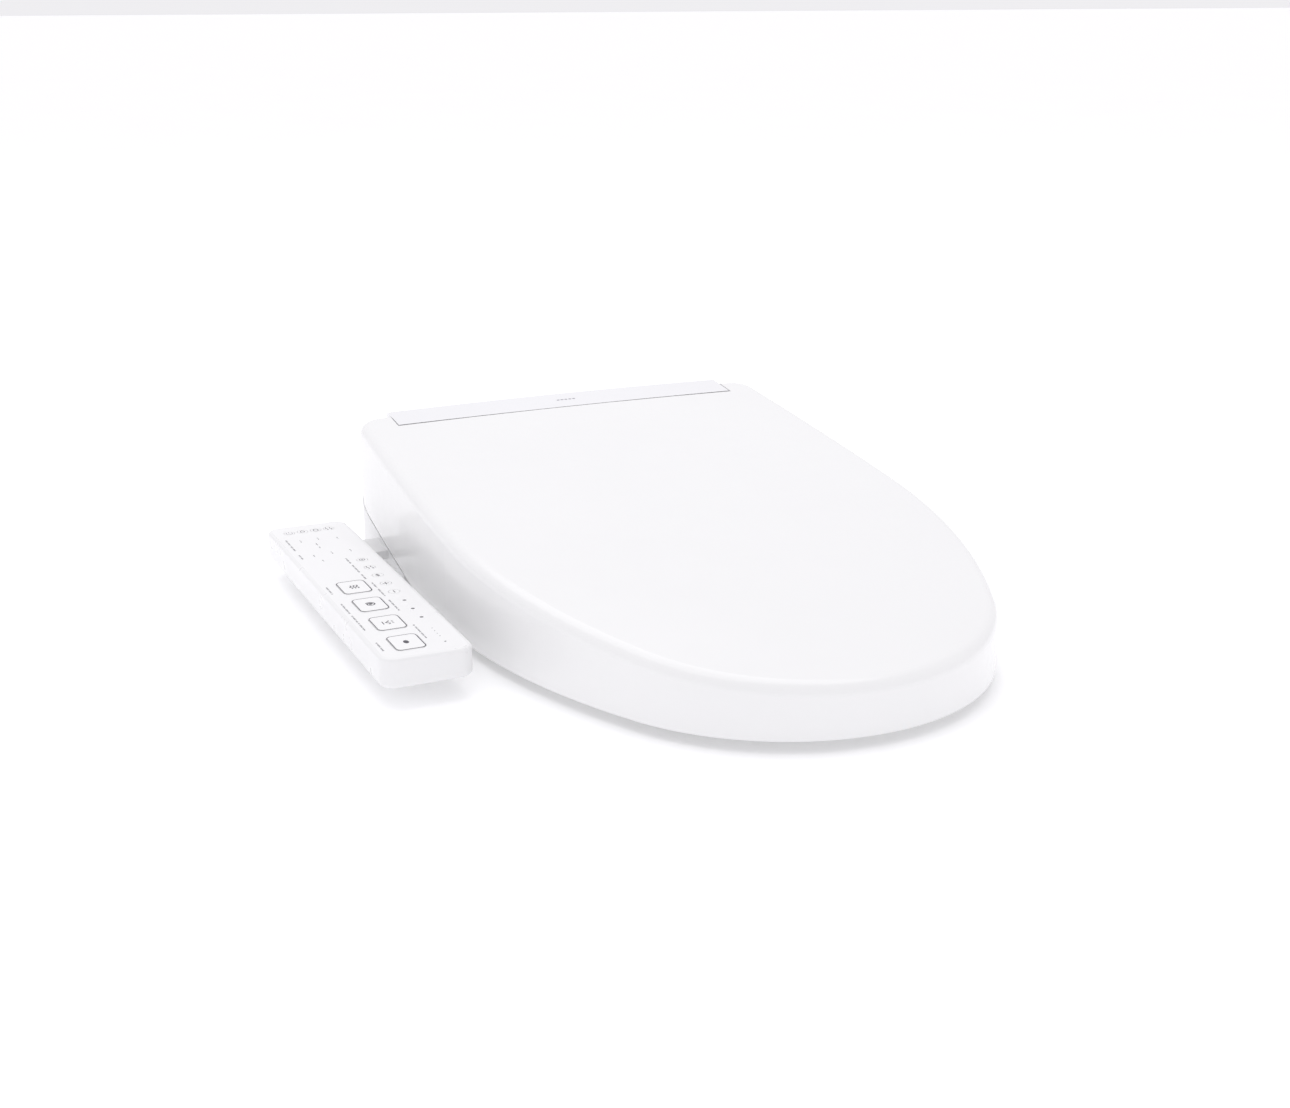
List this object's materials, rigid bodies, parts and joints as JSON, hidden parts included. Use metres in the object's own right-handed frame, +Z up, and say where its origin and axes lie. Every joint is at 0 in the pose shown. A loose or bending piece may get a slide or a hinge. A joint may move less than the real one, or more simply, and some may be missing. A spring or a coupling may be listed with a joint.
{
  "type": "electric bidet seat",
  "caption": "Elongated electric bidet toilet seat with a full-cover sloping lid, heated seat ring, rear case with sliding wash wand, and a side control arm with travelling keys.",
  "frame": {"origin": "midway between the two fixing bolt slots, on the plane the unit rests on", "axes": "+Z up, -Y towards the rounded front, +X to the side without the control arm"},
  "size_m": [0.458, 0.556, 0.1119],
  "materials": {
    "lid_white": "high gloss",
    "seat_white": "gloss",
    "case_white": "satin gloss",
    "panel_white": "gloss",
    "arm_white": "satin gloss",
    "film": "satin film",
    "key_white": "satin",
    "lens_dark": "clear dark lens",
    "pad_rubber": "matte",
    "black_rubber": "matte",
    "steel": "turned",
    "brass": "machined",
    "damper_grey": "moulded",
    "bracket_grey": "moulded",
    "inner_black": "moulded",
    "tank_ivory": "moulded",
    "board_green": "lacquered",
    "foil": "foil",
    "wand_white": "gloss",
    "gear_white": "moulded",
    "filter_grey": "moulded"
  },
  "bodies": {
    "unit": {"lower_case": "case_white", "bottom_plate": "bracket_grey", "upper_case": "case_white", "rear_panel": "panel_white", "hinge_pin_left": "steel", "hinge_pin_right": "steel", "lid_damper": "damper_grey", "seat_damper": "damper_grey", "mount_plate": "bracket_grey", "case_foot_rear": "black_rubber", "case_foot_front": "black_rubber", "water_inlet": "brass", "cable_gland": "black_rubber", "inlet_valve": "inner_black", "water_heater": "tank_ivory", "air_pump": "inner_black", "dryer_fan": "inner_black", "dryer_duct": "tank_ivory", "control_board": "board_green", "odour_fan": "inner_black", "nozzle_motor": "steel", "nozzle_guide": "tank_ivory", "arm_upper": "arm_white", "arm_lower": "arm_white", "panel_film": "film", "key_board": "board_green", "indicator_1": "lens_dark", "indicator_2": "lens_dark", "indicator_3": "lens_dark"},
    "seat": {"seat_top": "seat_white", "seat_bottom": "seat_white", "seat_heater": "foil", "seat_pad_1": "pad_rubber", "seat_pad_2": "pad_rubber", "seat_pad_3": "pad_rubber", "seat_pad_4": "pad_rubber"},
    "lid": {"lid": "lid_white", "lid_pad_1": "pad_rubber", "lid_pad_2": "pad_rubber", "lid_pad_3": "pad_rubber", "lid_pad_4": "pad_rubber"},
    "wand": {"wand": "wand_white", "nozzle_tip": "steel"},
    "pinion": {"drive_pinion": "gear_white"},
    "filter": {"filter_drawer": "filter_grey"},
    "release": {"release_button": "case_white"},
    "key_stop": {"key_stop": "key_white"},
    "key_rear_wash": {"key_rear_wash": "key_white"},
    "key_front_wash": {"key_front_wash": "key_white"},
    "key_dryer": {"key_dryer": "key_white"},
    "soft_key_1": {"soft_key_1": "key_white"},
    "soft_key_2": {"soft_key_2": "key_white"},
    "soft_key_3": {"soft_key_3": "key_white"},
    "soft_key_4": {"soft_key_4": "key_white"},
    "soft_key_5": {"soft_key_5": "key_white"},
    "soft_key_6": {"soft_key_6": "key_white"},
    "soft_key_7": {"soft_key_7": "key_white"},
    "soft_key_8": {"soft_key_8": "key_white"},
    "soft_key_9": {"soft_key_9": "key_white"}
  },
  "joints": [
    {"name": "seat_hinge", "type": "hinge", "parent": "unit", "child": "seat", "pos_m": [0, 0.008, 0.0935], "axis": [-1, 0, 0], "range_deg": [0, 100]},
    {"name": "lid_hinge", "type": "hinge", "parent": "seat", "child": "lid", "pos_m": [0, 0.008, 0.0935], "axis": [1, 0, 0], "range_deg": [-104, 0]},
    {"name": "wand_slide", "type": "slide", "parent": "unit", "child": "wand", "axis": [0, -0.9272, -0.3746], "range_m": [0, 0.095]},
    {"name": "pinion_spin", "type": "hinge", "parent": "unit", "child": "pinion", "pos_m": [0, -0.04646, 0.05159], "axis": [-1, 0, 0], "range_deg": [0, 730]},
    {"name": "filter_slide", "type": "slide", "parent": "unit", "child": "filter", "axis": [1, 0, 0], "range_m": [0, 0.03]},
    {"name": "release_press", "type": "slide", "parent": "unit", "child": "release", "axis": [-1, 0, 0], "range_m": [0, 0.004], "stiffness_N_per_m": 400, "springref_m": -0.003},
    {"name": "key_stop_press", "type": "slide", "parent": "unit", "child": "key_stop", "axis": [0, 0, -1], "range_m": [0, 0.0006], "stiffness_N_per_m": 1500, "springref_m": -0.0004},
    {"name": "key_rear_wash_press", "type": "slide", "parent": "unit", "child": "key_rear_wash", "axis": [0, 0, -1], "range_m": [0, 0.0006], "stiffness_N_per_m": 1500, "springref_m": -0.0004},
    {"name": "key_front_wash_press", "type": "slide", "parent": "unit", "child": "key_front_wash", "axis": [0, 0, -1], "range_m": [0, 0.0006], "stiffness_N_per_m": 1500, "springref_m": -0.0004},
    {"name": "key_dryer_press", "type": "slide", "parent": "unit", "child": "key_dryer", "axis": [0, 0, -1], "range_m": [0, 0.0006], "stiffness_N_per_m": 1500, "springref_m": -0.0004},
    {"name": "soft_key_1_press", "type": "slide", "parent": "unit", "child": "soft_key_1", "axis": [0, 0, -1], "range_m": [0, 0.0004], "stiffness_N_per_m": 1200, "springref_m": -0.0003},
    {"name": "soft_key_2_press", "type": "slide", "parent": "unit", "child": "soft_key_2", "axis": [0, 0, -1], "range_m": [0, 0.0004], "stiffness_N_per_m": 1200, "springref_m": -0.0003},
    {"name": "soft_key_3_press", "type": "slide", "parent": "unit", "child": "soft_key_3", "axis": [0, 0, -1], "range_m": [0, 0.0004], "stiffness_N_per_m": 1200, "springref_m": -0.0003},
    {"name": "soft_key_4_press", "type": "slide", "parent": "unit", "child": "soft_key_4", "axis": [0, 0, -1], "range_m": [0, 0.0004], "stiffness_N_per_m": 1200, "springref_m": -0.0003},
    {"name": "soft_key_5_press", "type": "slide", "parent": "unit", "child": "soft_key_5", "axis": [0, 0, -1], "range_m": [0, 0.0004], "stiffness_N_per_m": 1200, "springref_m": -0.0003},
    {"name": "soft_key_6_press", "type": "slide", "parent": "unit", "child": "soft_key_6", "axis": [0, 0, -1], "range_m": [0, 0.0004], "stiffness_N_per_m": 1200, "springref_m": -0.0003},
    {"name": "soft_key_7_press", "type": "slide", "parent": "unit", "child": "soft_key_7", "axis": [0, 0, -1], "range_m": [0, 0.0004], "stiffness_N_per_m": 1200, "springref_m": -0.0003},
    {"name": "soft_key_8_press", "type": "slide", "parent": "unit", "child": "soft_key_8", "axis": [0, 0, -1], "range_m": [0, 0.0004], "stiffness_N_per_m": 1200, "springref_m": -0.0003},
    {"name": "soft_key_9_press", "type": "slide", "parent": "unit", "child": "soft_key_9", "axis": [0, 0, -1], "range_m": [0, 0.0004], "stiffness_N_per_m": 1200, "springref_m": -0.0003}
  ],
  "couplings": [
    {"joint": "pinion_spin", "follows": "wand_slide", "rad_per_m": 133.33}
  ]
}
